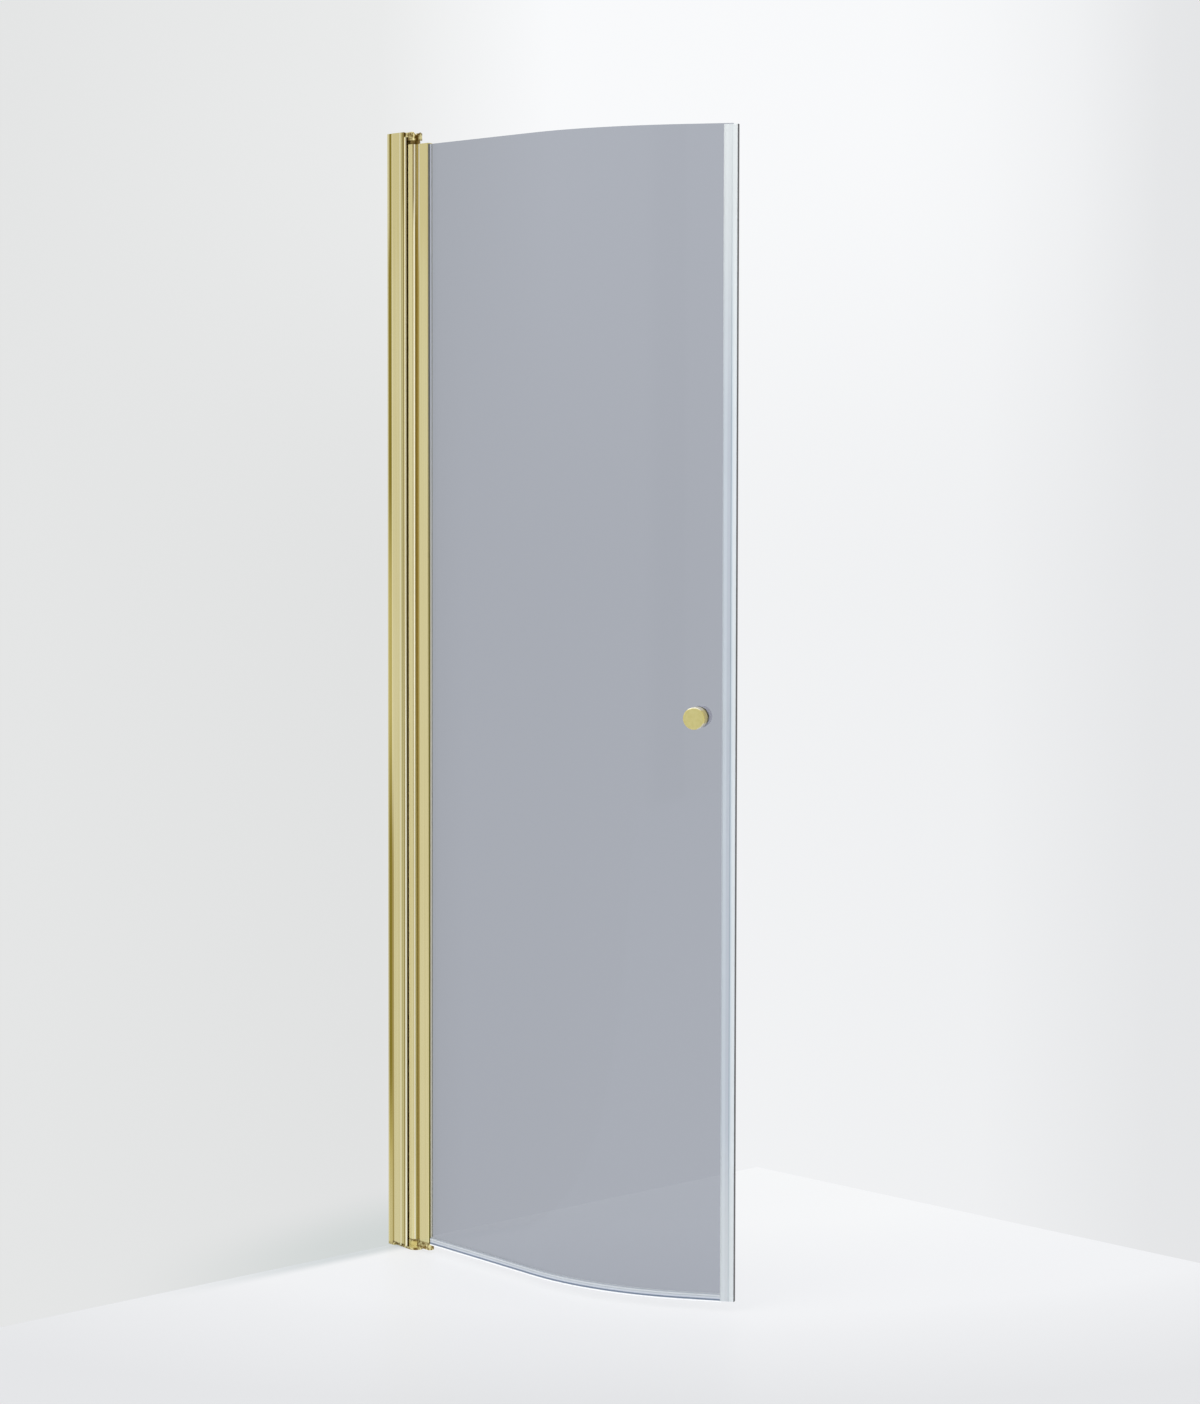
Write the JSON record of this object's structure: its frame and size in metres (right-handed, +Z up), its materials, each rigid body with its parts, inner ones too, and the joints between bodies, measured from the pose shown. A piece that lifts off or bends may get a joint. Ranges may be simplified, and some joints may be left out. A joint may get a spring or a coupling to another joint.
{
  "type": "shower door",
  "caption": "Hinged shower door: smoked glass leaf with a curved closing side, satin brass wall and door profiles, rising cam hinge, round knob and clear seals.",
  "frame": {"origin": "on the wall plane, in the middle of the glass thickness at the hinge, at floor level", "axes": "+X out from the wall along the flat of the shut leaf, +Y into the shower, +Z up"},
  "size_m": [0.7731, 0.1702, 2],
  "materials": {
    "satin_brass": "brushed along the length, satin",
    "cast_brass": "satin casting, machined edges",
    "polished_brass": "turned and polished",
    "knob_brass": "satin face, polished rim",
    "steel": "ground",
    "nylon": "moulded, dull",
    "black_rubber": "extruded, dull",
    "smoked_glass": "polished, tempered, grey tint",
    "clear_seal": "extruded, clear",
    "clear_washer": "moulded, clear",
    "magnet": "extruded magnetic rubber, dull"
  },
  "bodies": {
    "wall_frame": {"wall_channel": "satin_brass", "jamb_profile": "satin_brass", "jamb_screws": "polished_brass", "channel_foot_cap": "satin_brass", "channel_top_plug": "satin_brass", "top_bracket": "cast_brass", "top_pivot_pin": "steel", "top_collar": "polished_brass", "bottom_bracket": "cast_brass", "bracket_screws": "polished_brass", "lower_lift_cam": "polished_brass", "hinge_seal": "black_rubber"},
    "spindle": {"lower_spindle": "steel", "spindle_circlip": "steel"},
    "leaf": {"door_profile": "satin_brass", "top_bush": "nylon", "bottom_shoe": "cast_brass", "upper_lift_cam": "polished_brass", "profile_screws": "polished_brass", "leaf_top_cap": "satin_brass", "leaf_bottom_cap": "nylon", "glass_pane": "smoked_glass", "outer_gasket": "black_rubber", "inner_gasket": "black_rubber", "setting_blocks": "black_rubber", "bottom_seal": "clear_seal", "closing_strip": "clear_seal", "magnet_strip": "magnet", "outer_knob": "knob_brass", "inner_knob": "knob_brass", "knob_stud": "steel", "knob_sleeve": "clear_washer", "knob_washers": "clear_washer", "knob_grub_screws": "steel"}
  },
  "joints": [
    {"name": "door_swing", "type": "hinge", "parent": "wall_frame", "child": "spindle", "pos_m": [0.063, 0, 0], "axis": [0, 0, -1], "range_deg": [0, 90]},
    {"name": "door_lift", "type": "slide", "parent": "spindle", "child": "leaf", "axis": [0, 0, 1], "range_m": [0, 0.00602]}
  ],
  "couplings": [
    {"joint": "door_lift", "follows": "door_swing", "m_per_rad": 0.0038197}
  ]
}
